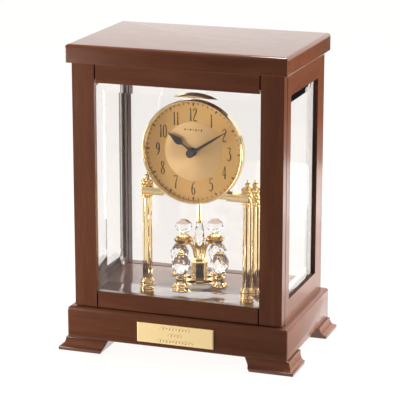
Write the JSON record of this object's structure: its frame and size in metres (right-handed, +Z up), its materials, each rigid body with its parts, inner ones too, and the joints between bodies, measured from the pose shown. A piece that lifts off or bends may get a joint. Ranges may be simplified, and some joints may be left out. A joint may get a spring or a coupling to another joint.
{
  "type": "anniversary clock",
  "caption": "Glazed wooden mantel clock case on bracket feet with a hinged front door, round dial on a gilt column stand, and a rotating crystal pendulum.",
  "frame": {"origin": "centre of the footprint, on the surface the feet stand on", "axes": "+X to the right seen from the front, +Y to the rear, +Z up; the dial and the door face -Y"},
  "size_m": [0.235, 0.152, 0.297],
  "materials": {
    "lacquered_wood": "dark walnut stain under satin lacquer",
    "bevelled_glass": "clear, polished bevels",
    "crystal": "clear, faceted",
    "gilt": "polished gold plate",
    "brass": "polished brass",
    "dial_gold": "satin gold plate with a spun centre and printed dark figures",
    "nickel": "nickel plate",
    "hand_black": "dark grey lacquer",
    "black_plastic": "matt moulded",
    "cell_sleeve": "plain printed sleeve, no lettering"
  },
  "bodies": {
    "root": {"base_plinth": "lacquered_wood", "battery": "cell_sleeve", "battery_cover": "black_plastic", "bezel": "gilt", "column_left": "gilt", "column_right": "gilt", "cross_bar": "gilt", "dial": "dial_gold", "dial_drum": "gilt", "engraved_plate": "brass", "finial_left": "gilt", "finial_right": "gilt", "floor_board": "lacquered_wood", "foot_front_left": "lacquered_wood", "foot_front_right": "lacquered_wood", "foot_rear_left": "lacquered_wood", "foot_rear_right": "lacquered_wood", "glass_clip_left_front": "nickel", "glass_clip_left_rear": "nickel", "glass_clip_right_front": "nickel", "glass_clip_right_rear": "nickel", "hinge_leaf_case_lower": "brass", "hinge_leaf_case_upper": "brass", "movement_case": "black_plastic", "post_front_left": "lacquered_wood", "post_front_right": "lacquered_wood", "post_rear_left": "lacquered_wood", "post_rear_right": "lacquered_wood", "rear_glass": "bevelled_glass", "rear_rail_bottom": "lacquered_wood", "rear_rail_top": "lacquered_wood", "side_glass_left": "bevelled_glass", "side_glass_right": "bevelled_glass", "side_rail_bottom_left": "lacquered_wood", "side_rail_bottom_right": "lacquered_wood", "side_rail_top_left": "lacquered_wood", "side_rail_top_right": "lacquered_wood", "top_board": "lacquered_wood"},
    "door": {"door_glass": "bevelled_glass", "door_rail_bottom": "lacquered_wood", "door_rail_top": "lacquered_wood", "door_stile_left": "lacquered_wood", "door_stile_right": "lacquered_wood", "hinge_leaf_door_lower": "brass", "hinge_leaf_door_upper": "brass"},
    "hour_hand": {"hour_hand": "hand_black", "hour_wheel": "brass"},
    "minute_hand": {"minute_hand": "hand_black", "minute_arbor": "brass"},
    "setting_knob": {"setting_knob": "black_plastic"},
    "pendulum": {"crystal_lower_front_left": "crystal", "crystal_lower_front_right": "crystal", "crystal_lower_rear_left": "crystal", "crystal_lower_rear_right": "crystal", "crystal_upper_left": "crystal", "crystal_upper_right": "crystal", "pendulum_base": "gilt", "pendulum_carrier": "gilt", "pendulum_centre_crystal": "crystal", "pendulum_rod": "gilt"}
  },
  "joints": [
    {"name": "door_hinge", "type": "hinge", "parent": "root", "child": "door", "pos_m": [-0.1048, -0.056, 0.162], "axis": [0, 0, -1], "range_deg": [0, 110]},
    {"name": "minute_hand_turn", "type": "hinge", "parent": "root", "child": "minute_hand", "pos_m": [0, -0.0275, 0.1918], "axis": [0, 1, 0], "continuous": true},
    {"name": "hour_hand_turn", "type": "hinge", "parent": "root", "child": "hour_hand", "pos_m": [0, -0.0204, 0.1918], "axis": [0, 1, 0], "continuous": true},
    {"name": "setting_knob_turn", "type": "hinge", "parent": "root", "child": "setting_knob", "pos_m": [0.012, 0.01, 0.1918], "axis": [0, 1, 0], "continuous": true},
    {"name": "pendulum_swing", "type": "hinge", "parent": "root", "child": "pendulum", "pos_m": [0, 0, 0.1], "axis": [0, 0, 1], "range_deg": [-180, 180]}
  ],
  "couplings": [
    {"joint": "hour_hand_turn", "follows": "minute_hand_turn", "ratio": 0.083333},
    {"joint": "setting_knob_turn", "follows": "minute_hand_turn", "ratio": -0.33333}
  ]
}
